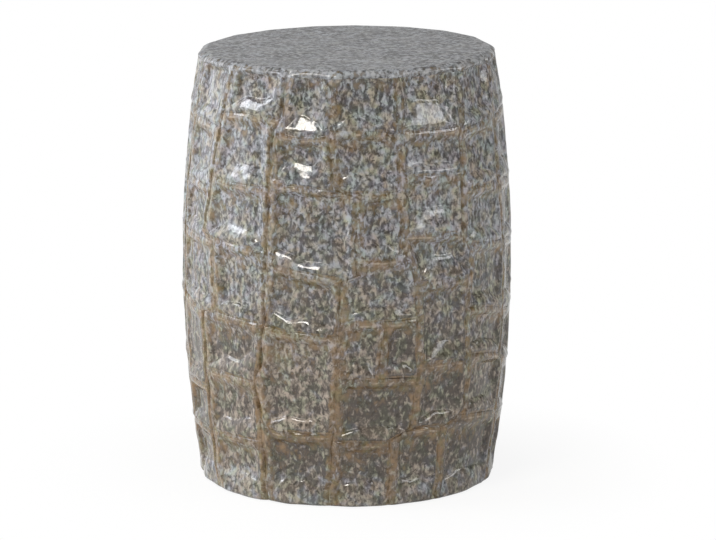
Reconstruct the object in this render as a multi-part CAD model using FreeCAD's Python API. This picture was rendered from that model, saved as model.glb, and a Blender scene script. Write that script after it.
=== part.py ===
import FreeCAD, Part
import math
import os

# Ceramic garden stool: a hollow barrel of stoneware, closed by a flat seat and standing on an open
# foot ring. Dished slabs of clay clad the wall like uneven masonry, with open joints between them.
# Millimetres, +Z up, origin on the floor at the middle of the foot. A direction round the barrel is
# in degrees: 0 faces -Y and it grows towards +X. The wall is pressed in a mould of two alike halves,
# so the pattern of slabs covers half a turn and is repeated on the other half.

# Driving dimensions
stool_height = 460.0
belly_radius = 177.0
end_radius = 158.0
cladding_depth = 8.0
wall_thickness = 6.0
seat_thickness = 8.0
seat_corner_radius = 158.5
foot_height = 10.0
foot_inner_radius = 124.0
mould_seam_direction = -77.0
joint_gap = 3.0
floor_gap = 2.0
trim_tolerance = 0.001

# Relief of a slab: depth of each part of its face below the barrel's outermost line
rim_depth = 2.4
dish_depth = 5.5
corner_depth = 1.0
rim_width = 7.0
side_rim_width = 8.0
face_step = 7.0

# Seat details
plug_depth = 6.0
plug_clearance = 1.0
seat_edge_rounding = 4.0
seat_corner_rounding = 24.0
coil_size = 12.0

half_height = stool_height / 2
bulge = belly_radius - end_radius
barrel_arc_radius = (half_height ** 2 + bulge ** 2) / (2 * bulge)
wall_top = stool_height - seat_thickness
cladding_top = wall_top - 1.0

# Corners of the seat's outline, as directions over half a turn
seat_corners = [-85, -64, -44, -24, -4, 14, 33, 53, 77]

# Upright joints between the columns of slabs, from the top down, as (height, direction)
upright_joints = [
    [(460, -73), (400, -74), (335, -77), (270, -78), (200, -79), (110, -80), (0, -81)],
    [(460, -48), (405, -52), (340, -55.5), (280, -58.5), (272, -54), (200, -52.5), (194, -60), (0, -59)],
    [(460, -22.5), (403, -25.5), (397, -27.5), (230, -29), (160, -31), (130, -34), (80, -32.5), (0, -32)],
    [(460, -5.5), (403, -6.5), (340, -5), (332, 3.2), (250, 3), (244, -2), (150, -3.5), (0, -7)],
    [(460, 18.5), (340, 18), (285, 19), (240, 24), (150, 25.5), (84, 23), (72, 16), (0, 15.5)],
    [(460, 47.5), (400, 45), (285, 43.5), (265, 47.5), (195, 45), (145, 47), (94, 46.5), (79, 36), (0, 35)],
    [(460, 70.5), (397, 68), (330, 67), (260, 70.5), (140, 69.5), (135, 72), (0, 69)],
    [(460, 88), (400, 87), (335, 89), (270, 91), (200, 90), (130, 88), (0, 89)],
]

# Bed joints in each column, from the top down, as heights at its left side, middle and right side
bed_joints = [
    [(397, 396, 392), (333, 331, 327), (276, 275, 272), (203, 200, 197), (114, 113, 114), (66, 66, 64)],
    [(408, 411, 408), (340, 338, 338), (275, 274, 271), (199, 196, 194), (133, 133, 129), (65, 66, 66)],
    [(398, 393, 396), (343, 341, 338), (259, 251, 245), (192, 188, 186), (82, 80, 80)],
    [(399, 400, 395), (337, 336, 336), (270, 267, 271), (201, 201, 202), (140, 140, 138), (72, 71, 70)],
    [(398, 396, 396), (352, 350, 350), (292, 290, 286), (239, 238, 239), (152, 152, 150), (80, 83, 80)],
    [(392, 396, 396), (332, 331, 331), (274, 270, 266), (205, 200, 192), (154, 150, 143), (90, 86, 80)],
    [(398, 400, 402), (330, 328, 325), (266, 262, 258), (192, 188, 190), (136, 130, 128), (76, 72, 70)],
    [(400, 404, 400), (338, 336, 336), (272, 274, 278), (206, 202, 204), (140, 134, 126), (62, 60, 64)],
]

# A slab that is cut in two, as its column and course, with the joint down its middle
split_slabs = {(3, 4): [(202, 13.5), (180, 12), (138, 11.2)]}

# Above each slab's lower edge the face turns out to a lip. Its fold is this high at the slab's left
# side, middle and right side. Slabs that are left out have the usual fold.
usual_fold = (8, 13, 8)
folds = {
    (1, 0): (8, 14, 22), (1, 1): (6, 17, 9), (1, 2): (8, 16, 7), (1, 4): (5, 16, 34), (1, 5): (6, 16, 24),
    (2, 0): (8, 17, 8), (2, 1): (14, 20, 34), (2, 2): (16, 10, 8), (2, 3): (15, 12, 7),
    (3, 1): (14, 18, 14), (4, 0): (15, 28, 9), (4, 1): (12, 15, 12), (4, 2): (24, 22, 5),
    (4, 3): (13, 25, 8), (5, 0): (9, 12, 20), (6, 1): (8, 20, 12), (6, 3): (18, 15, 6), (7, 2): (7, 18, 16),
}


def barrel_radius(height, depth=0.0):
    rise = height - half_height
    return belly_radius - barrel_arc_radius + math.sqrt(barrel_arc_radius ** 2 - rise ** 2) - depth


def barrel_point(direction, height, depth):
    angle = math.radians(direction)
    radius = barrel_radius(height, depth)
    return FreeCAD.Vector(radius * math.sin(angle), -radius * math.cos(angle), height)


def turned(shape, degrees):
    copy = shape.copy()
    copy.rotate(FreeCAD.Vector(0, 0, 0), FreeCAD.Vector(0, 0, 1), degrees)
    return copy


def save(node, solids):
    shape = solids[0] if len(solids) == 1 else Part.makeCompound(solids)
    shape.exportStep(f"parts/{node}.step")
    volume = sum(solid.Volume for solid in solids) / 1000
    print(f"{node}: {len(solids)} solid(s), {volume:.0f} cm3, valid {shape.isValid()}")


# Turned pieces: a profile in the X-Z plane, turned about the axis
def profile_point(radius, height):
    return FreeCAD.Vector(radius, 0, height)


def barrel_line(low, high, depth):
    middle = (low + high) / 2
    ends = [profile_point(barrel_radius(height, depth), height) for height in (low, middle, high)]
    return Part.Arc(*ends).toShape()


def turned_piece(edges, sweep=360):
    wire = Part.Wire(Part.__sortEdges__(edges))
    return Part.Face(wire).revolve(FreeCAD.Vector(0, 0, 0), FreeCAD.Vector(0, 0, 1), sweep)


def closed_profile(barrel_edge, corners):
    low = barrel_edge.Vertexes[0].Point
    high = barrel_edge.Vertexes[-1].Point
    points = [high] + [profile_point(*corner) for corner in corners] + [low]
    lines = [Part.makeLine(start, end) for start, end in zip(points, points[1:])]
    return [barrel_edge] + lines


def wall_half():
    outer = barrel_line(foot_height, wall_top, cladding_depth)
    inner = barrel_line(foot_height, wall_top, cladding_depth + wall_thickness)
    top_edge = Part.makeLine(outer.Vertexes[-1].Point, inner.Vertexes[-1].Point)
    foot_edge = Part.makeLine(inner.Vertexes[0].Point, outer.Vertexes[0].Point)
    return turned(turned_piece([outer, top_edge, inner, foot_edge], 180), mould_seam_direction - 90)


def foot_ring():
    outer = barrel_line(0, foot_height, cladding_depth)
    return turned_piece(closed_profile(outer, [(foot_inner_radius, foot_height), (foot_inner_radius, 0)]))


# The core fills the drum out to its outer face, and trims the backs of the slabs to it
def drum_core():
    outer = barrel_line(0, stool_height, cladding_depth)
    return turned_piece(closed_profile(outer, [(0, stool_height), (0, 0)]))


def seat_seam_coil():
    corner_height = wall_top - plug_depth
    against_wall = barrel_line(corner_height - coil_size, corner_height, cladding_depth + wall_thickness)
    inner_corner = (against_wall.Vertexes[-1].Point.x - coil_size, corner_height)
    return turned_piece(closed_profile(against_wall, [inner_corner]))


def seat_top():
    directions = seat_corners + [corner + 180 for corner in seat_corners]
    corners = []
    for direction in directions + directions[:1]:
        angle = math.radians(direction)
        x = seat_corner_radius * math.sin(angle)
        y = -seat_corner_radius * math.cos(angle)
        corners.append(FreeCAD.Vector(x, y, wall_top))
    outline = Part.Face(Part.makePolygon(corners))
    disc = outline.extrude(FreeCAD.Vector(0, 0, seat_thickness))
    uprights = [edge for edge in disc.Edges if abs(edge.tangentAt(edge.FirstParameter).z) > 0.9]
    disc = disc.makeFillet(seat_corner_rounding, uprights)
    upper_edges = [edge for edge in disc.Edges if edge.BoundBox.ZMin > stool_height - 0.1]
    disc = disc.makeFillet(seat_edge_rounding, upper_edges)
    plug_radius = barrel_radius(wall_top, cladding_depth + wall_thickness) - plug_clearance
    plug = Part.makeCylinder(plug_radius, plug_depth, FreeCAD.Vector(0, 0, wall_top - plug_depth))
    return disc.fuse(plug).removeSplitter()


# Slabs of the cladding
def direction_at(joint, height):
    for (high, start), (low, end) in zip(joint, joint[1:]):
        if height >= low:
            return start + (end - start) * (high - height) / (high - low)
    return joint[-1][1]


def along(three_values, share):
    left, middle, right = three_values
    if share < 0.5:
        return left + (middle - left) * share * 2
    return middle + (right - middle) * (share - 0.5) * 2


# A joint that steps sideways well inside a slab needs rows of points at both ends of the step
def step_rows(joint, top, bottom):
    rows = []
    for (high, start), (low, end) in zip(joint, joint[1:]):
        if abs(end - start) > 0.3 * (high - low):
            rows += [(top - height) / (top - bottom) for height in (high, low)]
    return [row for row in rows if 0.15 < row < 0.7]


# A slab is a net of points on its face and the same net inside the drum, closed round the edge
def slab(left_joint, right_joint, top, bottom, fold):
    middle_height = (along(top, 0.5) + along(bottom, 0.5)) / 2
    width = direction_at(right_joint, middle_height) - direction_at(left_joint, middle_height)
    width_mm = math.radians(width) * barrel_radius(middle_height)
    height_mm = along(top, 0.5) - along(bottom, 0.5)
    side = side_rim_width / width_mm
    inner_steps = max(2, round(width / face_step))
    columns = [0] + [side + (1 - 2 * side) * step / inner_steps for step in range(inner_steps + 1)] + [1]
    steps = step_rows(left_joint, top[0], bottom[0]) + step_rows(right_joint, top[2], bottom[2])

    net = []
    for share in columns:
        high = along(top, share) - joint_gap / 2
        low = along(bottom, share) + joint_gap / 2
        fold_share = 1 - along(fold, share) / (high - low)
        dished = [rim_width / height_mm, 0.45, fold_share] + steps
        rows = [(0, rim_depth)] + [(row, dish_depth) for row in sorted(dished)] + [(1, 0.0)]
        line = []
        for row, depth in rows:
            height = high + (low - high) * row
            gap = math.degrees(joint_gap / 2 / barrel_radius(height))
            left = direction_at(left_joint, height) + gap
            right = direction_at(right_joint, height) - gap
            if share in (0, 1):
                depth = corner_depth if row == 1 else rim_depth
            line.append((left + (right - left) * share, height, depth))
        net.append(line)
    return net_solid(net)


def net_solid(net):
    column_count = len(net)
    row_count = len(net[0])
    layer = column_count * row_count
    points = [barrel_point(*place) for line in net for place in line]
    inside = cladding_depth + wall_thickness / 2
    points += [barrel_point(direction, height, inside) for line in net for direction, height, depth in line]

    def index(column, row, back=0):
        return column * row_count + row + back * layer

    triangles = []

    def add_quad(a, b, c, d):
        triangles.extend([(a, b, c), (a, c, d)])

    for column in range(column_count - 1):
        for row in range(row_count - 1):
            add_quad(index(column, row), index(column, row + 1),
                     index(column + 1, row + 1), index(column + 1, row))
            add_quad(index(column, row, 1), index(column + 1, row, 1),
                     index(column + 1, row + 1, 1), index(column, row + 1, 1))
        add_quad(index(column, 0), index(column + 1, 0), index(column + 1, 0, 1), index(column, 0, 1))
        last = row_count - 1
        add_quad(index(column, last), index(column, last, 1),
                 index(column + 1, last, 1), index(column + 1, last))
    for row in range(row_count - 1):
        last = column_count - 1
        add_quad(index(0, row), index(0, row, 1), index(0, row + 1, 1), index(0, row + 1))
        add_quad(index(last, row), index(last, row + 1), index(last, row + 1, 1), index(last, row, 1))

    shape = Part.Shape()
    shape.makeShapeFromMesh((points, triangles), 0.01)
    solid = Part.makeSolid(shape)
    if solid.Volume < 0:
        solid.reverse()
    return solid


def cladding_column(column, core):
    left = upright_joints[column]
    if column + 1 < len(upright_joints):
        right = upright_joints[column + 1]
    else:
        right = [(height, direction + 180) for height, direction in upright_joints[0]]
    beds = [(cladding_top + joint_gap / 2,) * 3] + bed_joints[column] + [(floor_gap - joint_gap / 2,) * 3]

    slabs = []
    for course, (top, bottom) in enumerate(zip(beds, beds[1:])):
        sides = [left, right]
        if (column, course) in split_slabs:
            sides = [left, split_slabs[column, course], right]
        fold = folds.get((column, course), usual_fold)
        for left_side, right_side in zip(sides, sides[1:]):
            slabs.append(slab(left_side, right_side, top, bottom, fold).cut(core, trim_tolerance))
    return slabs


os.makedirs("parts", exist_ok=True)
save("wall_half_front", [wall_half()])
save("wall_half_back", [turned(wall_half(), 180)])
save("foot_ring", [foot_ring()])
save("seat_top", [seat_top()])
save("seat_seam_coil", [seat_seam_coil()])

core = drum_core()
for column in range(len(upright_joints)):
    slabs = cladding_column(column, core)
    save(f"slab_column_{column + 1:02d}", slabs)
    save(f"slab_column_{column + 1 + len(upright_joints):02d}", [turned(piece, 180) for piece in slabs])
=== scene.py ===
import math

import bmesh
import bpy
import numpy as np
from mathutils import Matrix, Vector


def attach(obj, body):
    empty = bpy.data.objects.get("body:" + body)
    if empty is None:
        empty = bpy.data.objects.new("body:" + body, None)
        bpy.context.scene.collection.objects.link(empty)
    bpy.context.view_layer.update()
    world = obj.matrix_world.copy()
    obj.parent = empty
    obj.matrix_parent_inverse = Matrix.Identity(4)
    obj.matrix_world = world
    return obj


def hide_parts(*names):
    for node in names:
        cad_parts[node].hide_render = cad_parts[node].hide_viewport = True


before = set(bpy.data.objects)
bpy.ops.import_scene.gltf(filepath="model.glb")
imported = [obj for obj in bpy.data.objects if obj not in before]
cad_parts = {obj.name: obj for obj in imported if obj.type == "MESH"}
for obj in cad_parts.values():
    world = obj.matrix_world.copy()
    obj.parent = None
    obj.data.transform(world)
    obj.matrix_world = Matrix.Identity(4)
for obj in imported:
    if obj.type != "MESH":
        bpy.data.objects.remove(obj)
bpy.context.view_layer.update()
print("frame loaded")

scene = bpy.context.scene
scene.view_settings.view_transform = "Standard"
mm = 0.001

# The barrel, in millimetres. A direction is in degrees round it: 0 faces -Y and it grows towards +X.
barrel = {
    "height": 460.0,
    "bellyRadius": 177.0,
    "endRadius": 158.0,
    "claddingDepth": 8.0,  # from the outermost line in to the drum under the slabs
    "drumCover": 0.25,  # of clay that the deepest relief leaves over the drum
    "seatThickness": 8.0,
    "floorGap": 0.7,
}
claddingTop = barrel["height"] - barrel["seatThickness"]
farAway = 60.0  # stands for the distance to a joint that isn't there
halfTurn = np.array([-1, -1, 1])  # takes a point to the other half of the barrel

# Upright joints between the columns of slabs, from the top down, as (height, direction)
uprightJoints = [
    [(460, -73), (400, -74), (335, -77), (270, -78), (200, -79), (110, -80), (0, -81)],
    [(460, -48), (405, -52), (340, -55.5), (280, -58.5), (272, -54), (200, -52.5), (194, -60), (0, -59)],
    [(460, -22.5), (403, -25.5), (397, -27.5), (230, -29), (160, -31), (130, -34), (80, -32.5), (0, -32)],
    [(460, -5.5), (403, -6.5), (340, -5), (332, 3.2), (250, 3), (244, -2), (150, -3.5), (0, -7)],
    [(460, 18.5), (340, 18), (285, 19), (240, 24), (150, 25.5), (84, 23), (72, 16), (0, 15.5)],
    [(460, 47.5), (400, 45), (285, 43.5), (265, 47.5), (195, 45), (145, 47), (94, 46.5), (79, 36), (0, 35)],
    [(460, 70.5), (397, 68), (330, 67), (260, 70.5), (140, 69.5), (135, 72), (0, 69)],
    [(460, 88), (400, 87), (335, 89), (270, 91), (200, 90), (130, 88), (0, 89)],
]
joints = uprightJoints + [[(height, direction + 180) for height, direction in uprightJoints[0]]]
jointSways = [(0.22, 8.5), (0.15, 3.9)]  # degrees to each side, and millimetres of height to a radian

# Bed joints in each column, from the top down, as heights at its left side, middle and right side
bedJoints = [
    [(397, 396, 392), (333, 331, 327), (276, 275, 272), (203, 200, 197), (114, 113, 114), (66, 66, 64)],
    [(408, 411, 408), (340, 338, 338), (275, 274, 271), (199, 196, 194), (133, 133, 129), (65, 66, 66)],
    [(398, 393, 396), (343, 341, 338), (259, 251, 245), (192, 188, 186), (82, 80, 80)],
    [(399, 400, 395), (337, 336, 336), (270, 267, 271), (201, 201, 202), (140, 140, 138), (72, 71, 70)],
    [(398, 396, 396), (352, 350, 350), (292, 290, 286), (239, 238, 239), (152, 152, 150), (80, 83, 80)],
    [(392, 396, 396), (332, 331, 331), (274, 270, 266), (205, 200, 192), (154, 150, 143), (90, 86, 80)],
    [(398, 400, 402), (330, 328, 325), (266, 262, 258), (192, 188, 190), (136, 130, 128), (76, 72, 70)],
    [(400, 404, 400), (338, 336, 336), (272, 274, 278), (206, 202, 204), (140, 134, 126), (62, 60, 64)],
]
splitSlabs = {(3, 4): [(202, 13.5), (180, 12), (138, 11.2)]}  # column and course: the joint down its middle

# How high the face folds out to its lip, above the slab's lower edge, at its left, middle and right
usualFold = (8, 13, 8)
baseFold = (20, 26, 20)
folds = {
    (1, 0): (8, 14, 22), (1, 1): (6, 17, 9), (1, 2): (8, 16, 7), (1, 4): (5, 16, 34), (1, 5): (6, 16, 24),
    (2, 0): (8, 17, 8), (2, 1): (14, 20, 34), (2, 2): (16, 10, 8), (2, 3): (15, 12, 7),
    (3, 1): (14, 18, 14), (4, 0): (15, 28, 9), (4, 1): (7, 9, 8), (4, 2): (6, 24, 5),
    (4, 3): (4, 25, 5), (4, 4): (5, 19, 6), (5, 0): (9, 12, 20), (6, 1): (8, 20, 12), (6, 3): (18, 15, 6),
    (7, 0): (20, 24, 20), (7, 2): (7, 18, 16),
}

# Along a direction round the barrel: the joints' share of their usual depth, the shares of its usual width
# and strength that the brown beside them has, and how brown the bottom of an upright joint is
jointDepths = [(-72, -50, -32, -22, -2, 98), (0.5, 0.45, 0.95, 0.95, 0.6, 0.5)]
brownWidths = [(-30, 5, 22, 45), (1.0, 1.0, 0.75, 0.6)]
brownShares = [(-30, 5, 22, 45), (1.0, 1.0, 0.95, 0.9)]
jointBrowns = [(-60, -20, 60, 98), (1.15, 0.85, 0.85, 1.15)]

# By column, or by column and course
paleRims = {0: 0.4, 1: 0.5, 2: 0.6}  # columns whose left rim is pale glaze and painted highlight, and how much
glazeTones = {  # slabs on which more or less of the pale glaze lies than on most
    (1, 0): -1.2, (1, 1): 0.5, (1, 5): 1.2, (1, 6): 1.8, (2, 4): 2.2, (3, 0): -1.2, (3, 3): -0.8,
    (3, 5): -1.3, (5, 1): 1.4, (6, 1): 0.8,
}
faceLift = {  # millimetres by which faces are dished less deeply than most
    0: 0.8, 1: 0.9, (0, 3): 1.8, (0, 4): 2.8, (0, 5): 0.0, 2: -0.4, 6: 0.9, (6, 0): 3.6, (6, 5): 2.8,
    7: 1.9, (7, 0): 3.8, (7, 5): 3.6,
}
flatFacets = [(2, 0), (1, 1), (2, 1), (1, 2), (4, 0), (4, 4)]  # elsewhere the fold has a steeper step


def barrelRadius(height):
    half = barrel["height"] / 2
    bulge = barrel["bellyRadius"] - barrel["endRadius"]
    arcRadius = (half ** 2 + bulge ** 2) / (2 * bulge)
    return barrel["bellyRadius"] - arcRadius + np.sqrt(arcRadius ** 2 - (height - half) ** 2)


def barrelPoints(direction, height, depth):
    angle = np.radians(direction)
    radius = barrelRadius(height) - depth
    return np.stack([radius * np.sin(angle), -radius * np.cos(angle), height + 0 * radius], axis=-1) * mm


def directionAt(joint, height):
    heights, directions = zip(*reversed(joint))
    phase = directions[0] % 180  # so that both halves of the barrel meet
    (broad, broadMm), (fine, fineMm) = jointSways
    sway = broad * np.sin(height / broadMm + phase) + fine * np.sin(height / fineMm + 2 * phase)
    return np.interp(height, heights, directions) + sway


def acrossColumn(values, share):
    left, middle, right = values
    bow = 4 * share * (1 - share)
    return left + (right - left) * share + (middle - (left + right) / 2) * bow


def rise(value, low, high):
    t = np.clip((value - low) / (high - low), 0, 1)
    return t * t * (3 - 2 * t)


def fade(value, low, high):
    return 1 - rise(value, low, high)


def outwardsAt(direction, climb=0.0):
    angle = np.radians(direction)
    level = np.cos(climb)
    return np.stack([level * np.sin(angle), -level * np.cos(angle), np.sin(climb) + 0 * angle], axis=-1)


def linear(hexColour):
    channels = [int(hexColour[i:i + 2], 16) / 255 for i in (1, 3, 5)]
    return [c / 12.92 if c <= 0.04045 else ((c + 0.055) / 1.055) ** 2.4 for c in channels] + [1.0]


def addNode(tree, kind, inputs=None, **settings):
    made = tree.nodes.new(kind)
    for name, value in settings.items():
        setattr(made, name, value)
    for socket, value in (inputs or {}).items():
        if isinstance(value, bpy.types.Node):
            value = next(output for output in value.outputs if output.enabled)
        if isinstance(value, bpy.types.NodeSocket):
            tree.links.new(value, made.inputs[socket])
        else:
            made.inputs[socket].default_value = value
    return made


# Each step has a name, an operation and what goes into it: a number, or the name of a known value or of an
# earlier step
def addSteps(tree, known, steps):
    for name, operation, *values in steps:
        inputs = {number: known.get(value, value) for number, value in enumerate(values)}
        if operation == "SMOOTHSTEP":
            known[name] = addNode(tree, "ShaderNodeMapRange", inputs, interpolation_type=operation)
        else:
            known[name] = addNode(tree, "ShaderNodeMath", inputs, operation=operation)


def newMaterial(name):
    material = bpy.data.materials.new(name)
    material.use_nodes = True
    material.node_tree.nodes.clear()
    return material, material.node_tree


# The glaze: a reactive stoneware glaze, poured over and fired glossy. Pale streaks run down over a dark
# ground with iron flecks in it. It breaks to brown where it runs thin over ridges, and pools pale in
# hollows. Pale ridges also carry a painted highlight, and creases a painted shade.
glaze = {
    "ground": "#4d4d50",
    "streak": "#a2a5aa",
    "fleck": "#343333",
    "pool": "#a2a6aa",
    "thinBrown": "#8b7e6a",
    "ironBrown": "#564b39",
    # The next colour is partly pale glaze broken on ridges and partly a painted highlight along lit rims
    "ridgeAndHighlight": "#b8ac9b",
    # The next colour is partly dark glaze pooled in the joints and partly painted shade in the creases
    "creasePoolAndShade": "#554a3e",
    "warm": "#fff0d3",  # these tint the colours under them
    "rosy": "#fff6f8",
    "mossy": "#f7fff4",
    "patterns": {  # size in millimetres, detail and distortion
        "streaks": (4.2, 2.0, 0.5), "flecks": (4.5, 2.0, 0.4), "warmth": (12.0, 1.0, 0.6),
        "bloom": (14.0, 1.0, 0.6), "patches": (10.5, 2.0, 0.0),
    },
    "noiseRoughness": 0.55,
    "drawnOut": 1.65,  # how far gravity stretches the streaks
    # The glaze thins and browns from paleAbove down to brownBelow, and has run together again at the base
    "heightsMm": {"paleAbove": 300.0, "brownBelow": 100.0, "baseTop": 62.0, "base": 12.0},
    "fleckBump": 0.3,  # the flecks stand up a little
    "fleckBumpMm": 0.4,
    "roughness": 0.08,
    "ior": 1.52,
}
slabGlaze = {"name": "runningStonewareGlaze", "browning": 1.0, "hueChange": 1.0, "patternScale": 1.0}
seatGlaze = {"name": "levelStonewareGlaze", "browning": 0.0, "hueChange": 0.25, "patternScale": 1.2}

# Where each colour lies. Noise runs from about 0.25 to 0.75, and the mesh's marks but slabTone from 0 to 1.
glazeSteps = [
    ("browning", "SMOOTHSTEP", "height", "brownBelow", "paleAbove", "browningShare", 0.0),
    ("baseShare", "SMOOTHSTEP", "height", "base", "baseTop", 0.3, 1.0),
    ("browning", "MULTIPLY", "browning", "baseShare"),
    ("cover", "MULTIPLY_ADD", "patches", 0.25, "streaks"),
    ("cover", "MULTIPLY_ADD", "slabTone", 0.03, "cover"),
    ("cover", "MULTIPLY_ADD", "browning", -0.10, "cover"),
    ("cover", "MULTIPLY_ADD", "pooledGlaze", 0.025, "cover"),
    ("pool", "MULTIPLY_ADD", "patches", 1.6, "pooledGlaze"),
    ("thin", "MULTIPLY_ADD", "patches", -1.8, "thinGlaze"),
    ("thin", "MULTIPLY_ADD", "streaks", -1.4, "thin"),
    ("thin", "MULTIPLY_ADD", "browning", 0.1, "thin"),
    ("iron", "MULTIPLY_ADD", "streaks", -2.2, "thinGlaze"),
    ("iron", "MULTIPLY_ADD", "flecks", 2.2, "iron"),
    # Where the ridges are pale: partly glaze, partly a painted highlight
    ("ridgeAndHighlightCover", "MULTIPLY_ADD", "patches", -1.4, "paleRidgeAndHighlight"),
    ("ridgeAndHighlightCover", "MULTIPLY_ADD", "streaks", -1.2, "ridgeAndHighlightCover"),
    # Where the creases darken: partly pooled glaze, partly painted shade
    ("creasePoolAndShadeShare", "MULTIPLY_ADD", "patches", 1.6, "creasePoolAndShade"),
    ("warmth", "MULTIPLY_ADD", "browning", 0.24, "warmth"),
    ("rosiness", "MULTIPLY_ADD", "browning", 0.1, "bloom"),
    ("mossiness", "SUBTRACT", 1.0, "bloom"),
]
# Layers from the ground up: the colour, how it is laid on, the step that places it, the values at which it
# begins and is full, and its share where it is full
glazeLayers = [
    ("streak", "MIX", "cover", 0.47, 0.80, 1.0),
    ("pool", "MIX", "pool", 0.9, 1.9, 0.15),
    ("fleck", "MIX", "flecks", 0.5, 0.7, 0.8),
    ("thinBrown", "MIX", "thin", -1.15, -0.35, 0.9),
    ("ironBrown", "MIX", "iron", 0.75, 1.35, 0.8),
    ("warm", "MULTIPLY", "warmth", 0.36, 0.7, "hueChange"),
    ("rosy", "MULTIPLY", "rosiness", 0.5, 0.68, "hueChange"),
    ("mossy", "MULTIPLY", "mossiness", 0.5, 0.68, "hueChange"),
    # The pale ridge colour, partly a painted highlight
    ("ridgeAndHighlight", "MIX", "ridgeAndHighlightCover", -0.85, -0.1, 0.8),
    # The dark crease colour, partly painted shade
    ("creasePoolAndShade", "MIX", "creasePoolAndShadeShare", 1.2, 1.9, 0.75),
]


def glazeMaterial(surface):
    material, tree = newMaterial(surface["name"])
    place = addNode(tree, "ShaderNodeTexCoord").outputs["Object"]
    run = addNode(tree, "ShaderNodeMapping", {"Vector": place, "Scale": (1, 1, 1 / glaze["drawnOut"])})
    known = {
        "height": addNode(tree, "ShaderNodeSeparateXYZ", {"Vector": place}).outputs["Z"],
        "browningShare": surface["browning"], "hueChange": surface["hueChange"],
    }
    known.update({key: height * mm for key, height in glaze["heightsMm"].items()})
    for key, (size, detail, distortion) in glaze["patterns"].items():
        known[key] = addNode(tree, "ShaderNodeTexNoise", {
            "Vector": run if key == "streaks" else place, "Scale": 1 / (size * surface["patternScale"] * mm),
            "Detail": detail, "Roughness": glaze["noiseRoughness"], "Distortion": distortion})
    for key in ("thinGlaze", "pooledGlaze", "paleRidgeAndHighlight", "creasePoolAndShade", "slabTone"):
        known[key] = addNode(tree, "ShaderNodeAttribute", attribute_name=key).outputs["Fac"]
    addSteps(tree, known, glazeSteps)

    colour = linear(glaze["ground"])
    for key, way, step, start, full, most in glazeLayers:
        share = addNode(tree, "ShaderNodeMapRange", {
            "Value": known[step], "From Min": start, "From Max": full, "To Max": known.get(most, most)},
            interpolation_type="SMOOTHSTEP")
        colour = addNode(tree, "ShaderNodeMix", {"Factor": share, 6: colour, 7: linear(glaze[key])},
                         data_type="RGBA", blend_type=way)
    bump = addNode(tree, "ShaderNodeBump", {
        "Height": known["flecks"], "Strength": glaze["fleckBump"], "Distance": glaze["fleckBumpMm"] * mm})
    shader = addNode(tree, "ShaderNodeBsdfPrincipled", {
        "Base Color": colour, "Roughness": glaze["roughness"], "IOR": glaze["ior"], "Normal": bump})
    addNode(tree, "ShaderNodeOutputMaterial", {"Surface": shader})
    return material


# Bare stoneware: the buff clay body, wiped clean of glaze and fired matt, with grog showing in it
bareStoneware = {
    "name": "bareStoneware", "colours": ("#a8977e", "#7d6c58"), "patternMm": 2.8, "detail": 4.0,
    "bump": 0.5, "bumpMm": 0.3, "roughness": 0.85,
}
# The slabs' glaze where it is thin, on the drum behind them: brown, and grey in patches where it pooled
jointGlaze = {
    "name": "thinJointGlaze", "colours": ("#5d4d3e", "#8d8f8b"), "patternMm": 14.0, "detail": 3.0,
    "bump": 0.0, "bumpMm": 0.0, "roughness": 0.15,
}


def mottledMaterial(surface):
    material, tree = newMaterial(surface["name"])
    place = addNode(tree, "ShaderNodeTexCoord").outputs["Object"]
    pattern = addNode(tree, "ShaderNodeTexNoise", {
        "Vector": place, "Scale": 1 / (surface["patternMm"] * mm), "Detail": surface["detail"]})
    first, second = [linear(colour) for colour in surface["colours"]]
    colour = addNode(tree, "ShaderNodeMix", {"Factor": pattern, 6: first, 7: second}, data_type="RGBA")
    bump = addNode(tree, "ShaderNodeBump", {
        "Height": pattern, "Strength": surface["bump"], "Distance": surface["bumpMm"] * mm})
    shader = addNode(tree, "ShaderNodeBsdfPrincipled", {
        "Base Color": colour, "Roughness": surface["roughness"], "Normal": bump})
    addNode(tree, "ShaderNodeOutputMaterial", {"Surface": shader})
    return material


materials = {
    "slab_glaze": glazeMaterial(slabGlaze),
    "seat_glaze": glazeMaterial(seatGlaze),
    "joint_glaze": mottledMaterial(jointGlaze),
    "bare_stoneware": mottledMaterial(bareStoneware),
}
print("materials made")

# Relief of a slab, in millimetres: depths are below the barrel's outermost line, and widths are from the
# slab's edges
relief = {
    "rimDepth": 1.4,
    "dishDepth": 6.9,
    "grooveDepth": 3.3,
    "lipGrooveDepth": 2.3,
    "grooveVariety": 6.5,
    "bedStart": -2.0,  # how much nearer an end is than a side, where the groove turns from upright to level
    "bedEnd": 3.0,
    # How far the joint reaches in over the slab
    "leftGroove": 4.4, "rightGroove": 2.8, "topGroove": 3.2, "lipGroove": 6.4,
    # Where the rim ends and the dish begins to fall, and where the dish is at its full depth
    "leftRim": 5.8, "leftDish": 14.5, "rightRim": 4.2, "rightDish": 15.5, "topRim": 5.2, "topDish": 15.0,
    "lipHeight": 2.8,
    "lipCornerDepth": 1.4,
    "lipCornerStart": 1.0,
    "lipCornerEnd": 9.0,
    "gentlePower": 1.15,  # how the facet curves, and how its step at the fold does
    "steepPower": 9.0,
    "faceBlend": 0.4,  # how softly parts of the relief run into each other
    "jointBlend": 0.2,
    "roomBlend": 0.6,
    "waveDepth": 1.6,
    "wavesWidth": 24.0,  # from crest to crest
    "rippleDepth": 0.4,
    "ripplesWidth": 7.0,
}

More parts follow.
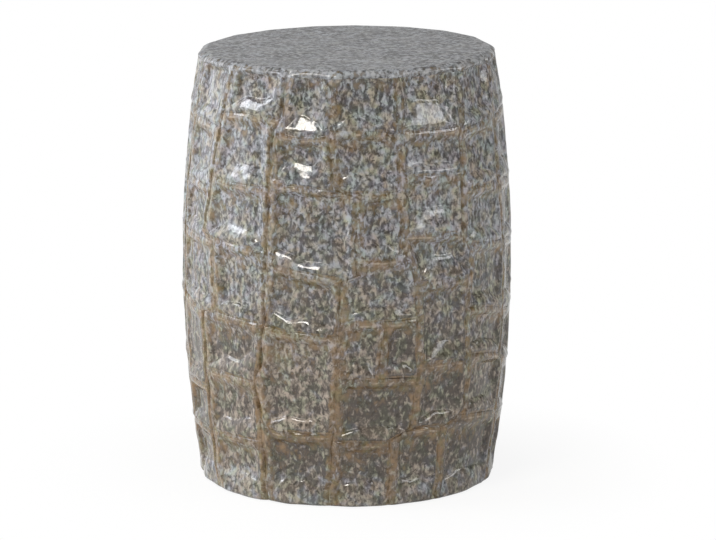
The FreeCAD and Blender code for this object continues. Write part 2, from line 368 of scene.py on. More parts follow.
# The relief, step by step. Noise lies about 0.5.
reliefSteps = [
    # The dish inside the raised rim: steep at its left side, gentle at its right and at its top
    ("leftWay", "MULTIPLY", "toLeft", "rimScale"),
    ("rightWay", "MULTIPLY", "toRight", "rimScale"),
    ("topWay", "MULTIPLY", "toTop", "rimScale"),
    ("leftEnd", "ADD", "leftWay", "rimInset"),
    ("leftFall", "SMOOTHSTEP", "leftEnd", "leftRim", "leftDish", 0.0, 1.0),
    ("rightFall", "SMOOTHSTEP", "rightWay", "rightRim", "rightDish", 0.0, 1.0),
    ("topFall", "SMOOTHSTEP", "topWay", "topRim", "topDish", 0.0, 1.0),
    ("fall", "MULTIPLY", "leftFall", "rightFall"),
    ("fall", "MULTIPLY", "fall", "topFall"),
    ("deepest", "ADD", "dishDepth", "faceTilt"),
    ("range", "SUBTRACT", "deepest", "rimDepth"),
    ("dish", "MULTIPLY_ADD", "fall", "range", "rimDepth"),
    # The facet that folds out to the lip, with a steeper step at the fold
    ("climb", "SUBTRACT", "toBottom", "lipHeight"),
    ("climb", "DIVIDE", "climb", "foldHeight"),
    ("climb", "MAXIMUM", "climb", 0.0),
    ("gentle", "POWER", "climb", "gentlePower"),
    ("steep", "POWER", "climb", "steepPower"),
    ("gentleShare", "SUBTRACT", 1.0, "foldStep"),
    ("gentle", "MULTIPLY", "gentle", "gentleShare"),
    ("climb", "MULTIPLY_ADD", "steep", "foldStep", "gentle"),
    ("toSide", "MINIMUM", "toLeft", "toRight"),
    ("lipDepth", "SMOOTHSTEP", "toSide", "lipCornerStart", "lipCornerEnd", "lipCornerDepth", 0.0),
    ("range", "SUBTRACT", "deepest", "lipDepth"),
    ("facet", "MULTIPLY_ADD", "climb", "range", "lipDepth"),
    ("face", "SMOOTH_MIN", "dish", "facet", "faceBlend"),
    ("face", "SMOOTH_MIN", "face", "cornerDepth", "faceBlend"),
    # The joint round the slab, deeper in some places than in others
    ("toEnd", "MINIMUM", "toTopJoint", "toBottom"),
    ("bed", "SUBTRACT", "toSide", "toEnd"),
    ("groove", "SMOOTHSTEP", "bed", "bedStart", "bedEnd", "grooveDepth", "lipGrooveDepth"),
    ("variety", "SUBTRACT", "waves", 0.5),
    ("groove", "MULTIPLY_ADD", "variety", "grooveVariety", "groove"),
    ("groove", "SUBTRACT", "groove", "rimDepth"),
    ("groove", "MULTIPLY_ADD", "groove", "jointShare", "rimDepth"),
    ("groove", "SUBTRACT", "groove", "face"),
    ("groove", "MAXIMUM", "groove", 0.0),
    ("leftShare", "DIVIDE", "toLeft", "leftGroove"),
    ("rightShare", "DIVIDE", "toRight", "rightGroove"),
    ("topShare", "DIVIDE", "toTopJoint", "topGroove"),
    ("lipShare", "DIVIDE", "toBottom", "lipGroove"),
    ("edgeShare", "SMOOTH_MIN", "leftShare", "rightShare", "jointBlend"),
    ("edgeShare", "SMOOTH_MIN", "edgeShare", "topShare", "jointBlend"),
    ("edgeShare", "SMOOTH_MIN", "edgeShare", "lipShare", "jointBlend"),
    ("joint", "SMOOTHSTEP", "edgeShare", 0.0, 1.0, 1.0, 0.0),
    ("joint", "MULTIPLY", "joint", "groove"),
    ("depth", "ADD", "face", "joint"),
    ("depth", "MULTIPLY", "depth", "reliefShare"),
    # The uneven surface that hands and tools leave
    ("unevenness", "MULTIPLY", "variety", "waveDepth"),
    ("ripples", "SUBTRACT", "ripples", 0.5),
    ("unevenness", "MULTIPLY_ADD", "ripples", "rippleDepth", "unevenness"),
    ("depth", "MULTIPLY_ADD", "unevenness", "waveShare", "depth"),
    ("depth", "SMOOTH_MIN", "depth", "room", "roomBlend"),
    ("inwards", "MULTIPLY", "depth", -mm),
]


def slabReliefTree():
    tree = bpy.data.node_groups.new("slabRelief", "GeometryNodeTree")
    tree.interface.new_socket("Geometry", in_out="INPUT", socket_type="NodeSocketGeometry")
    for name, value in relief.items():
        socket = tree.interface.new_socket(name, in_out="INPUT", socket_type="NodeSocketFloat")
        socket.default_value = value
    tree.interface.new_socket("glaze", in_out="INPUT", socket_type="NodeSocketMaterial")
    tree.interface.new_socket("Geometry", in_out="OUTPUT", socket_type="NodeSocketGeometry")
    given = addNode(tree, "NodeGroupInput").outputs
    known = {name: given[name] for name in relief}
    for name in ("toLeft", "toRight", "toTop", "toTopJoint", "toBottom", "rimScale", "foldHeight",
                 "foldStep", "faceTilt", "cornerDepth", "jointShare", "rimInset", "room", "reliefShare",
                 "waveShare"):
        known[name] = addNode(tree, "GeometryNodeInputNamedAttribute", {"Name": name}, data_type="FLOAT")
    place = addNode(tree, "GeometryNodeInputPosition")
    for name in ("waves", "ripples"):
        width = given[name + "Width"]
        density = addNode(tree, "ShaderNodeMath", {0: 1 / mm, 1: width}, operation="DIVIDE")
        known[name] = addNode(tree, "ShaderNodeTexNoise", {"Vector": place, "Scale": density, "Detail": 0.0})
    addSteps(tree, known, reliefSteps)

    outwards = addNode(tree, "GeometryNodeInputNamedAttribute", {"Name": "outwards"},
                       data_type="FLOAT_VECTOR")
    offset = addNode(tree, "ShaderNodeVectorMath", {0: outwards, "Scale": known["inwards"]},
                     operation="SCALE")
    moved = addNode(tree, "GeometryNodeSetPosition", {"Geometry": given["Geometry"], "Offset": offset})
    smooth = addNode(tree, "GeometryNodeSetShadeSmooth", {"Geometry": moved})
    glazed = addNode(tree, "GeometryNodeSetMaterial", {"Geometry": smooth, "Material": given["glaze"]})
    real = addNode(tree, "GeometryNodeRealizeInstances", {"Geometry": glazed})
    addNode(tree, "NodeGroupOutput", {"Geometry": real})
    return tree


def addLinked(name, data):
    holder = bpy.data.objects.new(name, data)
    scene.collection.objects.link(holder)
    return holder


def raisedMesh(bareMesh, tree, material):
    piece = addLinked("bare", bareMesh)
    modifier = piece.modifiers.new(tree.name, "NODES")
    modifier.node_group = tree
    sockets = {item.name: item.identifier for item in tree.interface.items_tree if item.in_out == "INPUT"}
    modifier[sockets["glaze"]] = material
    bpy.context.view_layer.update()
    evaluated = piece.evaluated_get(bpy.context.evaluated_depsgraph_get())
    mesh = bpy.data.meshes.new_from_object(evaluated)
    piece.modifiers.remove(modifier)
    bpy.data.objects.remove(piece)
    return mesh


# The barrel's ends, in millimetres: the outlines of the seat and the foot have many corners, and the wall
# runs into both. Corners are directions on the front half.
ends = {
    "seatCorners": [-85, -64, -44, -24, -4, 14, 33, 53, 77],
    "footCorners": [-90, -72, -54, -37, -20, 1, 18, 36, 54, 72],
    "cornerRadius": 158.5,
    "cornerSoftness": 3.0,  # degrees over which a corner is rounded
    "rimDepth": 0.3,  # how far in the seat's edge lies at a corner
    "seatPath": 10.5,  # from the joint under the seat, up and round its edge
    "seatBlend": (428.0, 450.0),  # heights between which the wall takes on the seat's outline
    "footBlend": (2.0, 60.0),  # and between which it leaves the foot's
    "footCornerOut": 5.2,  # how far a corner of the foot stands out past the barrel
    "footSideShare": 0.9,  # how much of that is lacking at the far left and right
    "footRounding": 1.6,
    "footRoundingHeights": (0.5, 3.0),
}


def manyCorneredOutline(frontCorners):
    corners = frontCorners + [corner + 180 for corner in frontCorners] + [frontCorners[0] + 360]
    step, sideSteps = 0.25, 40  # degrees, and how many of them the rounding takes in at each side
    directions = np.arange(-90, 450, step)
    radius = np.full_like(directions, ends["cornerRadius"])
    for start, end in zip(corners, corners[1:]):
        half = math.radians(end - start) / 2
        for turn in (-360, 0, 360):
            here = (directions >= start + turn) & (directions <= end + turn)
            away = np.radians(directions[here] - turn - (start + end) / 2)
            radius[here] = ends["cornerRadius"] * math.cos(half) / np.cos(away)
    reach = np.arange(-sideSteps, sideSteps + 1) * step
    kernel = np.exp(-0.5 * (reach / (ends["cornerSoftness"] / 2)) ** 2)
    softened = np.convolve(np.pad(radius, sideSteps, mode="edge"), kernel / kernel.sum(), mode="valid")
    return directions, ends["cornerRadius"] - softened


seatInset = manyCorneredOutline(ends["seatCorners"])
footInset = manyCorneredOutline(ends["footCorners"])


def edgeInset(direction, height):
    turned = (direction + 90) % 360 - 90
    seatEdge = np.interp(turned, *seatInset) + ends["rimDepth"] - relief["rimDepth"]
    footOut = ends["footCornerOut"] * (1 - ends["footSideShare"] * np.sin(np.radians(direction)) ** 4)
    footEdge = np.interp(turned, *footInset) - footOut
    rounding = ends["footRounding"] * fade(height, *ends["footRoundingHeights"])
    atSeat, atFoot = rise(height, *ends["seatBlend"]), fade(height, *ends["footBlend"])
    return atSeat * seatEdge + atFoot * footEdge + rounding


# The net of points on a slab: its cells are fine near its joints and fold, and coarser in its middle
net = {"fineCell": 0.8, "coarseCell": 1.25, "sideBand": 12.0, "foldBand": 26.0}


def spread(length, startBand, endBand):
    startBand, endBand = min(startBand, length / 3), min(endBand, length / 2)
    counts = [max(2, round(startBand / net["fineCell"])),
              max(2, round((length - startBand - endBand) / net["coarseCell"])),
              max(2, round(endBand / net["fineCell"]))]
    turns = np.array([0, startBand, length - endBand, length]) / length
    parts = [np.linspace(turns[i], turns[i + 1], counts[i], endpoint=False) for i in range(3)]
    return np.concatenate(parts + [[1.0]])


def sideDistances(leftJoint, rightJoint, share, height):
    left, right = directionAt(leftJoint, height), directionAt(rightJoint, height)
    direction = left + (right - left) * share
    perDegree = math.pi / 180 * barrelRadius(height)
    return direction, (direction - left) * perDegree, (right - direction) * perDegree


# Where the glaze is thin, pale or pooled, and where pale ridges carry a painted highlight and creases a
# painted shade, in millimetres from a slab's edges. A pair is where something begins and ends to rise or to
# fade, and the other numbers are shares.
marking = {
    "rightBrown": {"fade": (3.6, 8.0), "core": (0.2, 1.6), "atJoint": 0.65, "most": 0.78},
    "leftBrown": {"fade": (7.5, 19.0), "core": (1.0, 3.2), "atJoint": 0.65, "most": 0.74},
    "topBrown": {"fade": (8.0, 28.0), "core": (0.0, 2.4), "atJoint": 0.6, "most": 0.78},
    "seatBrown": {"fade": (8.0, 28.0), "core": (0.0, 2.4), "atJoint": 0.6, "most": 0.6},
    "seatBrownFrom": 7.5,  # along the path from the seat's top, down its edge
    "seatBrownRise": (0.0, 2.0),
    "seatBrownShare": 0.75,
    "lipBrown": {"fade": (2.0, 3.4), "most": 0.75},
    "faceBrown": {"across": 0.4, "down": 0.8, "fade": (0.1, 0.85), "most": 0.74},  # from its upper left
    "jointBrown": (2.2, 4.4),
    # Pale ridges at the left and at the top of a slab: partly glaze, partly a painted highlight
    "leftRidgeAndHighlight": {"fade": (6.0, 7.6), "widening": (1.5, 3.0), "rise": (3.0, 5.0), "least": 0.3, "more": 0.5},
    "topRidgeAndHighlight": {"fade": (5.0, 6.8), "rise": (2.4, 4.0), "most": 0.6},
    "ridgeEnds": {"left": (2.0, 4.0), "right": (2.0, 5.0), "bottom": (2.0, 5.0)},
    "pool": {"left": (7, 12), "right": (4, 8), "bottom": (2.4, 4.0)},
    "poolTop": (0.6, 1.8),  # of the fold's height
    "poolAbove": 14,
    # Creases at the joints darken: partly pooled glaze, partly painted shade
    "sideCrease": {"fade": (0.1, 1.2), "most": 0.2},
    "endCrease": {"fade": (0.1, 0.9), "most": 0.12},
}


def brownBand(band, distance, width=1.0):
    core = band["atJoint"] + (1 - band["atJoint"]) * rise(distance, *band["core"])
    return fade(distance / width, *band["fade"]) * core * band["most"]


def brownShare(direction, toLeft, toRight, toTop, toBottom, underSeat):
    width = np.interp(direction, *brownWidths)
    if underSeat:
        fromTop = toTop - marking["seatBrownFrom"]
        atTop = brownBand(marking["seatBrown"], fromTop) * rise(fromTop, *marking["seatBrownRise"])
    else:
        atTop = brownBand(marking["topBrown"], toTop)
    lip, face = marking["lipBrown"], marking["faceBrown"]
    across, down = toLeft / (toLeft + toRight), toTop / (toTop + toBottom)
    towardsLowerRight = face["across"] * across + face["down"] * down
    brown = np.maximum.reduce([
        brownBand(marking["rightBrown"], toRight, width),
        brownBand(marking["leftBrown"], toLeft, width),
        atTop,
        fade(toBottom, *lip["fade"]) * lip["most"],
        fade(towardsLowerRight, *face["fade"]) * face["most"],
        fade(np.minimum(toLeft, toRight), *marking["jointBrown"]) * np.interp(direction, *jointBrowns),
    ])
    return brown * np.interp(direction, *brownShares) * (marking["seatBrownShare"] if underSeat else 1.0)


# Pale ridges: partly glaze that breaks pale, partly a painted highlight on left rims facing the lamps and on
# top rims
def paleRidgeAndHighlightShare(toLeft, toRight, toTop, toBottom, underSeat, paleRim):
    left, top, stops = marking["leftRidgeAndHighlight"], marking["topRidgeAndHighlight"], marking["ridgeEnds"]
    leftFade = [place + widening * paleRim for place, widening in zip(left["fade"], left["widening"])]
    onLeft = fade(toLeft, *leftFade) * rise(toLeft, *left["rise"]) * (left["least"] + left["more"] * paleRim)
    onTop = 0.0 if underSeat else fade(toTop, *top["fade"]) * rise(toTop, *top["rise"]) * top["most"]
    inside = rise(toRight, *stops["right"]) * rise(toBottom, *stops["bottom"]) * rise(toLeft, *stops["left"])
    return np.maximum(onLeft, onTop) * inside


def glazeMarks(direction, toLeft, toRight, toTop, toBottom, foldHeight, underSeat, paleRim, tone):
    pool, (full, none) = marking["pool"], marking["poolTop"]
    inside = rise(toLeft, *pool["left"]) * rise(toRight, *pool["right"]) * rise(toBottom, *pool["bottom"])
    side, end = marking["sideCrease"], marking["endCrease"]
    return {
        "thinGlaze": brownShare(direction, toLeft, toRight, toTop, toBottom, underSeat),
        # A pale ridge is partly glaze and partly a painted highlight
        "paleRidgeAndHighlight": paleRidgeAndHighlightShare(toLeft, toRight, toTop, toBottom, underSeat, paleRim),
        "pooledGlaze": fade(toBottom, foldHeight * full, foldHeight * none + marking["poolAbove"]) * inside,
        # A dark crease is partly pooled glaze and partly painted shade
        "creasePoolAndShade": np.maximum(fade(np.minimum(toLeft, toRight), *side["fade"]) * side["most"],
                             fade(np.minimum(toTop, toBottom), *end["fade"]) * end["most"]),
        "slabTone": np.full_like(toLeft, tone),
    }


# What chance changes on a slab, in the order of the draws
chances = ["foldShift", "tiltAcross", "tiltDown", "rimScale", "tone", "ripple", "cornerSide", "cornerEnd",
           "cornerSlant", "cornerSlope"]
# How a slab is shaped, in millimetres. A pair marked as varied is a usual value, and how far a draw from -1
# to 1 takes it up or down.
slabShape = {
    "foldSide": 0.1,  # share of the width at which the fold has its side height
    "foldMiddle": (0.34, 0.66),  # and between which it has its middle height
    "foldShift": 0.07,  # by which a draw moves its middle
    "foldRipple": 0.8,
    "foldRadians": (17, 6),  # of ripples across the slab, and of their shift by a draw
    "leastFold": 2.0,
    "steepStep": 0.3,  # share of the facet's climb that is a step at the fold
    "flatStep": 0.08,  # and on the flat facets
    "tiltAcross": 2.0,
    "tiltDown": 1.5,
    "rimScale": (1, 0.18),  # varied
    "paleRimInset": 2.4,
    "cornerDraws": (0.5, 0.4),  # below these, the corner facet is at the right and at the lower end
    "cornerDepth": 1.2,
    "cornerSlope": (0.2, 0.05),  # varied
    "cornerSlant": (45, 25),  # varied, in degrees
    "freeOfSeat": (11.5, 32),  # along the path from the seat, where a top slab begins to differ
    "baseTone": -0.4,
}


def varied(key, draw):
    usual, reach = slabShape[key]
    return usual + reach * draw


def slabLook(column, course, rank):
    tone = glazeTones.get((column, course), 0.0)
    return {
        "fold": baseFold if rank == "base" else folds.get((column, course), usualFold),
        "foldStep": slabShape["flatStep" if (column, course) in flatFacets else "steepStep"],
        "lift": faceLift.get((column, course), faceLift.get(column, 0.0)),
        "paleRim": paleRims.get(column, 0.0),
        "tone": tone + (slabShape["baseTone"] if rank == "base" else 0.0),
    }


def foldLine(share, fold, chance):
    side = slabShape["foldSide"]
    start, end = [place + slabShape["foldShift"] * chance["foldShift"] for place in slabShape["foldMiddle"]]
    line = np.interp(share, [0, side, start, end, 1 - side, 1],
                     [fold[0] / 2, fold[0], fold[1], fold[1], fold[2], fold[2] / 2])
    across, shift = slabShape["foldRadians"]
    ripple = slabShape["foldRipple"] * np.sin(share * across + chance["ripple"] * shift)
    return np.maximum(line + ripple, slabShape["leastFold"])


# A facet takes off one corner, mostly the lower right one
def cornerFacet(toLeft, toRight, toTop, toBottom, underSeat, chance):
    rightBelow, lowBelow = slabShape["cornerDraws"]
    fromSide = toRight if chance["cornerSide"] < rightBelow else toLeft
    fromEnd = toBottom if chance["cornerEnd"] < lowBelow or underSeat else toTop
    slant = math.radians(varied("cornerSlant", chance["cornerSlant"]))
    reach = fromSide * math.cos(slant) + fromEnd * math.sin(slant)
    return slabShape["cornerDepth"] + varied("cornerSlope", chance["cornerSlope"]) * reach


def slabNet(leftJoint, rightJoint, top, bottom, look, rank, chance):
    middle = (top[1] + bottom[1]) / 2
    left, right = [float(directionAt(joint, middle)) for joint in (leftJoint, rightJoint)]
    width = math.radians(right - left) * float(barrelRadius(middle))
    across = spread(width, net["sideBand"], net["sideBand"])
    down = spread(top[1] - bottom[1], net["sideBand"], net["foldBand"])
    across, down = np.meshgrid(across, down)
    high, low = acrossColumn(top, across), acrossColumn(bottom, across)
    height = high + (low - high) * down
    direction, toLeft, toRight = sideDistances(leftJoint, rightJoint, across, height)
    underSeat = rank == "top"
    toTop = high - height + (ends["seatPath"] if underSeat else 0)
    toBottom = height - low + (relief["lipHeight"] if rank == "base" else 0)
    foldHeight = foldLine(across, look["fold"], chance)
    free = rise(toTop, *slabShape["freeOfSeat"]) if underSeat else 1.0
    tilt = ((across - 0.5) * slabShape["tiltAcross"] * chance["tiltAcross"]
            + (down - 0.5) * slabShape["tiltDown"] * chance["tiltDown"])
    everywhere = np.ones_like(height)
    marks = {
        "toLeft": toLeft, "toRight": toRight, "toTop": toTop, "toBottom": toBottom,
        "toTopJoint": farAway * everywhere if underSeat else toTop,
        "foldHeight": foldHeight,
        "foldStep": look["foldStep"] * everywhere,
        "faceTilt": (tilt - look["lift"]) * free,
        "cornerDepth": cornerFacet(toLeft, toRight, toTop, toBottom, underSeat, chance),
        "rimScale": varied("rimScale", chance["rimScale"] * free) * everywhere,
        "rimInset": -slabShape["paleRimInset"] * look["paleRim"] * everywhere,
        "jointShare": np.interp(direction, *jointDepths),
        "room": barrel["claddingDepth"] - barrel["drumCover"] - edgeInset(direction, height),
        "reliefShare": everywhere, "waveShare": everywhere,
    }
    marks.update(glazeMarks(direction, toLeft, toRight, toTop, toBottom, foldHeight, underSeat,
                            look["paleRim"], chance["tone"] + look["tone"]))
    return direction, height, marks


def slabMesh(direction, height, marks):
    rows, columns = direction.shape
    index = np.arange(rows * columns).reshape(rows, columns)
    ring = np.concatenate([index[:, 0], index[-1, 1:], index[-2::-1, -1], index[0, -2:0:-1]])
    outside = barrelPoints(direction, height, edgeInset(direction, height)).reshape(-1, 3)
    inside = barrelPoints(direction.ravel()[ring], height.ravel()[ring], barrel["claddingDepth"])
    centre = barrelPoints(direction.mean(), height.mean(), barrel["claddingDepth"])[None]
    points = np.concatenate([outside, inside, centre])
    quads = np.stack([index[:-1, :-1], index[1:, :-1], index[1:, 1:], index[:-1, 1:]], axis=-1)
    innerRing = rows * columns + np.arange(len(ring))
    sides = np.stack([ring, innerRing, np.roll(innerRing, -1), np.roll(ring, -1)], axis=-1)
    back = np.stack([innerRing, np.full(len(ring), len(points) - 1), np.roll(innerRing, -1)], axis=-1)
    spare = len(points) - rows * columns
    values = {name: np.concatenate([field.ravel(), np.zeros(spare)]) for name, field in marks.items()}
    values["outwards"] = np.concatenate([outwardsAt(direction).reshape(-1, 3), np.zeros((spare, 3))])
    return points, np.concatenate([quads.reshape(-1, 4), sides]), back, values


def meshOf(name, parts):
    offsets = np.cumsum([0] + [len(part[0]) for part in parts])
    points = np.concatenate([part[0] for part in parts])
    quads = np.concatenate([part[1] + offset for part, offset in zip(parts, offsets)])
    triangles = np.concatenate([part[2] + offset for part, offset in zip(parts, offsets)])
    sizes = np.concatenate([np.full(len(quads), 4), np.full(len(triangles), 3)])
    mesh = bpy.data.meshes.new(name)
    mesh.vertices.add(len(points))
    mesh.vertices.foreach_set("co", points.astype(np.float32).ravel())
    mesh.loops.add(int(sizes.sum()))
    corners = np.concatenate([quads.ravel(), triangles.ravel()])
    mesh.loops.foreach_set("vertex_index", corners.astype(np.int32))
    mesh.polygons.add(len(sizes))
    mesh.polygons.foreach_set("loop_start", (np.cumsum(sizes) - sizes).astype(np.int32))
    mesh.update(calc_edges=True)
    mesh.validate()
    for key in parts[0][3]:
        values = np.concatenate([part[3][key] for part in parts]).astype(np.float32)
        if values.ndim == 1:
            mesh.attributes.new(key, "FLOAT", "POINT").data.foreach_set("value", values)
        else:
            mesh.attributes.new(key, "FLOAT_VECTOR", "POINT").data.foreach_set("vector", values.ravel())
    return mesh


def pointsOf(mesh):
    points = np.empty(len(mesh.vertices) * 3, np.float32)
    mesh.vertices.foreach_get("co", points)
    return points.reshape(-1, 3)


def turnHalfWay(mesh):
    mesh.vertices.foreach_set("co", (pointsOf(mesh) * halfTurn).astype(np.float32).ravel())
    mesh.update()


def addPiece(name, mesh, slot, *nodes):
    mesh.name = name
    piece = addLinked(name, mesh)
    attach(piece, "root")
    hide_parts(*nodes)


def buildCladding(tree):
    for column, beds in enumerate(bedJoints):
        edges = [(claddingTop,) * 3] + beds + [(barrel["floorGap"],) * 3]
        ranks = ["top"] + ["middle"] * (len(beds) - 1) + ["base"]
        slabs = []
        for course, (high, low, rank) in enumerate(zip(edges, edges[1:], ranks)):
            look = slabLook(column, course, rank)
            sides = [joints[column], joints[column + 1]]
            if (column, course) in splitSlabs:
                sides.insert(1, splitSlabs[column, course])
            for part, (left, right) in enumerate(zip(sides, sides[1:])):
                random = np.random.default_rng(100 * column + 10 * course + part)
                chance = dict(zip(chances, random.uniform(-1, 1, len(chances))))
                slabs.append(slabMesh(*slabNet(left, right, high, low, look, rank, chance)))
        bare = meshOf("bareColumn", slabs)
        for number in (column + 1, column + 1 + len(bedJoints)):
            mesh = raisedMesh(bare, tree, materials["slab_glaze"])
            if number > len(bedJoints):
                turnHalfWay(mesh)
            addPiece(f"slabColumn{number:02d}", mesh, "slab_glaze", f"slab_column_{number:02d}")
    print("cladding made")


# The seat, in millimetres: a disc whose side runs into the slabs below, with a rounded edge and a plug under
# it. A path leads from the joint under the seat up its side, round its edge and in to its middle.
seat = {
    "edgeRounding": 6.5,
    "sideRings": 7,
    "edgeRings": 8,
    "fineReach": 12,  # how far in from the rounding the rings stay close
    "topRings": 60,
    "netHeight": 450,  # where the spaces between the upright joints are divided
    "netPerDegree": 2.76,
    "jointHeight": 458.0,  # up to which the upright joints are followed
    "reliefFade": (8.0, 14.0),  # places on the path, as the next two
    "waveRise": (9.0, 22.0),
    "poolRise": (1.0, 4.0),
    "poolShare": 0.9,
    "glazeTone": 1.0,
    "creaseFree": 2.0,  # the least distance to the top that the glaze's marks see, so that none is a crease
    # The waves' shares of their depth, and their lengths to a radian in x and in y
    "waves": [(1.0, 21, 34), (0.8, 15, -18), (0.6, math.inf, 11)],
    "waveDepth": 0.16,
    "waveRadius": 60,  # within which the waves flatten out
    "tilt": 2.2,  # how much higher the seat lies at its back right than at its front left
    "tiltTowards": (0.78, 0.62),
    "tiltStart": -20,
    "tiltLength": 170,
    "tiltRise": 7,  # above the joint under the seat
    "mergeDistance": 0.004,
    "plugRadius": 143.0,
    "plugDepth": 6.0,
}


def seatRings():
    rounding, top = seat["edgeRounding"], barrel["height"]
    straight = top - rounding
    rings = [(0.0, height, 0.0, height - claddingTop)  # how far in, height, climb and place on the path
             for height in np.linspace(claddingTop, straight, seat["sideRings"])]
    for climb in np.linspace(0, math.pi / 2, seat["edgeRings"] + 1)[1:]:
        rings.append((rounding * (1 - math.cos(climb)), straight + rounding * math.sin(climb), climb,
                      straight - claddingTop + rounding * climb))
    edgePath = rings[-1][3]
    close = np.arange(net["fineCell"], seat["fineReach"], net["fineCell"])
    wide = np.geomspace(seat["fineReach"], barrel["endRadius"] - rounding, seat["topRings"])
    for reach in np.concatenate([close, wide]):
        rings.append((rounding + reach, top, math.pi / 2, edgePath + reach))
    return rings


def seatNet():
    pairs = list(zip(joints, joints[1:]))
    degrees = [float(directionAt(right, seat["netHeight"]) - directionAt(left, seat["netHeight"]))
               for left, right in pairs]
    shares = [spread(width * seat["netPerDegree"], net["sideBand"], net["sideBand"]) for width in degrees]
    rings = seatRings()
    rows = []
    for ring in rings:
        followed = min(ring[1], seat["jointHeight"])
        row = [sideDistances(left, right, share, np.full_like(share, followed))
               for (left, right), share in zip(pairs, shares)]
        row = [np.concatenate([part[:-1] for part in field]) for field in zip(*row)]
        rows.append([np.append(field, field[0] + turn) for field, turn in zip(row, (180, 0, 0))])
    fields = [np.array(field) for field in zip(*rows)]
    columns = fields[0].shape[1]
    return fields + [np.repeat(np.array(value)[:, None], columns, axis=1) for value in zip(*rings)]


def seatHalf():
    direction, toLeft, toRight, inset, height, climb, path = seatNet()
    radius = barrelRadius(height) - edgeInset(direction, height)
    radius = np.maximum(radius * (1 - inset / barrel["endRadius"]), 0.0)
    angle = np.radians(direction)
    x, y = radius * np.sin(angle), -radius * np.cos(angle)
    wave = sum(high * np.cos(x / alongX + y / alongY) for high, alongX, alongY in seat["waves"])
    wave = wave * rise(path, *seat["waveRise"]) * rise(radius, 0, seat["waveRadius"])
    points = np.stack([x, y, height - seat["waveDepth"] * wave], axis=-1).reshape(-1, 3) * mm
    share = fade(path, *seat["reliefFade"])
    toTop = ends["seatPath"] - path
    none, one, far = 0 * path, np.ones_like(path), np.full_like(path, farAway)
    marks = {
        "toLeft": toLeft, "toRight": toRight, "toTop": np.maximum(toTop, 0.0), "toTopJoint": far,
        "toBottom": far, "foldHeight": one, "foldStep": none, "faceTilt": none, "cornerDepth": far,
        "rimScale": one, "rimInset": none, "jointShare": np.interp(direction, *jointDepths), "room": far,
        "reliefShare": share, "waveShare": share,
    }
    clear = np.maximum(toTop, seat["creaseFree"])
    colours = glazeMarks(direction, toLeft, toRight, clear, far, one, True, 0.0, seat["glazeTone"])
    colours["pooledGlaze"] = seat["poolShare"] * rise(path, *seat["poolRise"])
    marks.update({name: field * (share if name != "slabTone" else 1.0) for name, field in colours.items()})
    values = {name: field.ravel() for name, field in marks.items()}
    values["outwards"] = outwardsAt(direction, climb).reshape(-1, 3)
    index = np.arange(direction.size).reshape(direction.shape)
    quads = np.stack([index[:-1, :-1], index[:-1, 1:], index[1:, 1:], index[1:, :-1]], axis=-1)
    bare = meshOf("bareSeat", [(points, quads.reshape(-1, 4), np.empty((0, 3), int), values)])
    return bare, direction.shape


# Both ends of the half come to lie where they meet those of the half that is turned round
def makeEndsMeet(half, netShape):
    placed = pointsOf(half).reshape(*netShape, 3)
    meeting = (placed[:, 0] + placed[:, -1] * halfTurn) / 2
    placed[:, 0], placed[:, -1] = meeting, meeting * halfTurn
    half.vertices.foreach_set("co", placed.ravel())


def wholeSeat(half):
    whole = bmesh.new()
    whole.from_mesh(half)
    turnHalfWay(half)
    whole.from_mesh(half)
    bmesh.ops.remove_doubles(whole, verts=whole.verts, dist=seat["mergeDistance"] * mm)
    alongX, alongY = seat["tiltTowards"]
    for vertex in whole.verts:
        x, y, z = vertex.co / mm
        towards = np.clip((alongX * x + alongY * y - seat["tiltStart"]) / seat["tiltLength"], 0, 1)
        vertex.co.z += seat["tilt"] * mm * towards * rise(z, claddingTop, claddingTop + seat["tiltRise"])
    rim = [edge for edge in whole.edges if edge.is_boundary]
    for depth in (0.0, seat["plugDepth"]):
        grown = bmesh.ops.extrude_edge_only(whole, edges=rim)["geom"]
        for vertex in (item for item in grown if isinstance(item, bmesh.types.BMVert)):
            place = vertex.co.xy.normalized() * seat["plugRadius"] * mm
            vertex.co = (place.x, place.y, (claddingTop - depth) * mm)
        rim = [item for item in grown if isinstance(item, bmesh.types.BMEdge) and item.is_boundary]
    bmesh.ops.contextual_create(whole, geom=rim)
    bmesh.ops.recalc_face_normals(whole, faces=whole.faces)
    for face in whole.faces:
        face.smooth = True
    mesh = bpy.data.meshes.new("seatTop")
    whole.to_mesh(mesh)
    whole.free()
    mesh.materials.append(materials["seat_glaze"])
    return mesh


def buildSeat(tree):
    bare, netShape = seatHalf()
    half = raisedMesh(bare, tree, materials["seat_glaze"])
    makeEndsMeet(half, netShape)
    addPiece("seatTop", wholeSeat(half), "seat_glaze", "seat_top")
    print("seat made")


reliefTree = slabReliefTree()
buildCladding(reliefTree)
buildSeat(reliefTree)

for node, slot in (("wall_half_front", "joint_glaze"), ("wall_half_back", "joint_glaze"),
                   ("foot_ring", "bare_stoneware"), ("seat_seam_coil", "bare_stoneware")):
    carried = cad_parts[node]
    carried.data.materials.clear()
    carried.data.materials.append(materials[slot])

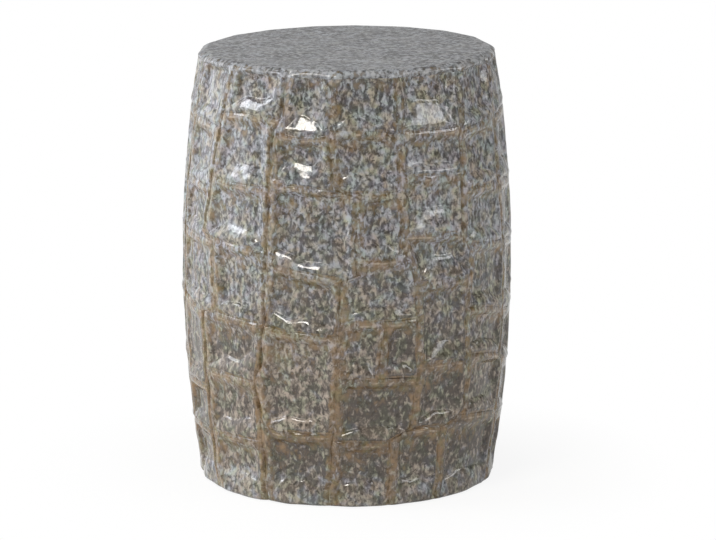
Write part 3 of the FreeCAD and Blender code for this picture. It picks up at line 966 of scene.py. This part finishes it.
# Studio, in metres: a white sweep, a large cool panel and a softbox at the left, a key softbox nearer to the
# camera, and a wide strip at the right. Directions are as on the barrel, and climbs are above the floor.
studio = {
    "floorColour": "#f2f2f1",
    "floorSize": 30,
    "whitened": (0.17, 0.36),  # from the stool's middle, where the floor that the camera sees turns white
    "whitenedFrom": 0.88,
    "leftLight": 0.37,  # the room's own light at the left and at the right
    "rightLight": 0.175,
    "mirroredShare": 0.25,  # of the white that the camera sees, so that the glaze mirrors a shaded sweep
    "lampAim": 0.3,  # above the floor
    "lamps": {  # direction, climb, distance, size, power and colour
        "leftPanel": (-104, 13, 2.6, (3.4, 2.2), 38.5, "#f3f7ff"),
        "leftBox": (-84, 31, 2.6, (1.0, 0.9), 25, "#f6f9ff"),
        "keyBox": (-30, 44, 2.6, (0.8, 0.6), 30, "#fffaf2"),
        "rightStrip": (68, 26, 2.5, (2.4, 0.65), 23, "#ffffff"),
    },
}
camera = {"place": (0, -4.196, 1.114), "aim": (0.0118, 0, 0.2194), "lensMm": 201.3}

# How much plain white a ray sees: the camera all of it, and reflections and views through glass a share of
# it, up to a little above the horizon
seenRays = [
    ("mirrored", "MAXIMUM", "Is Glossy Ray", "Is Transmission Ray"),
    ("low", "SMOOTHSTEP", "climb", 0.07, 0.15, 1.0, 0.0),
    ("mirrored", "MULTIPLY", "mirrored", "low"),
    ("mirrored", "MULTIPLY", "mirrored", "mirroredShare"),
    ("seen", "MAXIMUM", "Is Camera Ray", "mirrored"),
]
# The room's own light, from the left to the right
roomLight = [("light", "SMOOTHSTEP", "towardsRight", -0.3, 0.9, "leftLight", "rightLight")]


def lookAt(item, place, aim):
    item.location = place
    item.rotation_euler = (Vector(aim) - Vector(place)).to_track_quat("-Z", "Y").to_euler()


def buildSweep():
    bpy.ops.mesh.primitive_plane_add(size=studio["floorSize"])
    floor = bpy.context.object
    floor.name = "floor"
    material, tree = newMaterial("whiteSweep")
    known = {**addNode(tree, "ShaderNodeLightPath").outputs, **studio, "climb": 0.0}
    addSteps(tree, known, seenRays)
    place = addNode(tree, "ShaderNodeTexCoord").outputs["Object"]
    away = addNode(tree, "ShaderNodeVectorMath", {0: place}, operation="LENGTH").outputs["Value"]
    near, far = studio["whitened"]
    whitened = addNode(tree, "ShaderNodeMapRange", {
        "Value": away, "From Min": near, "From Max": far, "To Min": studio["whitenedFrom"], "To Max": 1.0})
    share = addNode(tree, "ShaderNodeMath", {0: known["seen"], 1: whitened}, operation="MULTIPLY")
    paper = addNode(tree, "ShaderNodeBsdfDiffuse", {"Color": linear(studio["floorColour"])})
    white = addNode(tree, "ShaderNodeEmission", {"Color": (1, 1, 1, 1), "Strength": 1.0})
    mixed = addNode(tree, "ShaderNodeMixShader", {0: share, 1: paper, 2: white})
    addNode(tree, "ShaderNodeOutputMaterial", {"Surface": mixed})
    floor.data.materials.append(material)


def buildRoom():
    world = bpy.data.worlds.new("studioWorld")
    scene.world = world
    world.use_nodes = True
    tree = world.node_tree
    tree.nodes.clear()
    direction = addNode(tree, "ShaderNodeTexCoord").outputs["Generated"]
    turned = addNode(tree, "ShaderNodeSeparateXYZ", {"Vector": direction}).outputs
    known = {**addNode(tree, "ShaderNodeLightPath").outputs, **studio,
             "climb": turned["Z"], "towardsRight": turned["X"]}
    addSteps(tree, known, seenRays + roomLight)
    strength = addNode(tree, "ShaderNodeMapRange", {
        "Value": known["seen"], "To Min": known["light"], "To Max": 1.0})
    sky = addNode(tree, "ShaderNodeBackground", {"Color": (1, 1, 1, 1), "Strength": strength})
    addNode(tree, "ShaderNodeOutputWorld", {"Surface": sky})


def buildLamps():
    aim = np.array([0, 0, studio["lampAim"]])
    for name, (direction, climb, distance, size, power, colour) in studio["lamps"].items():
        lamp = bpy.data.lights.new(name, "AREA")
        lamp.shape = "RECTANGLE"
        lamp.size, lamp.size_y = size
        lamp.energy = power
        lamp.color = linear(colour)[:3]
        away = outwardsAt(np.array(direction), math.radians(climb)) * distance
        lookAt(addLinked(name, lamp), away + aim, aim)


def buildCamera():
    lens = bpy.data.cameras.new("photoCamera")
    lens.lens = camera["lensMm"]
    holder = addLinked("photoCamera", lens)
    lookAt(holder, camera["place"], camera["aim"])
    scene.camera = holder


buildSweep()
buildRoom()
buildLamps()
buildCamera()
print("studio made")
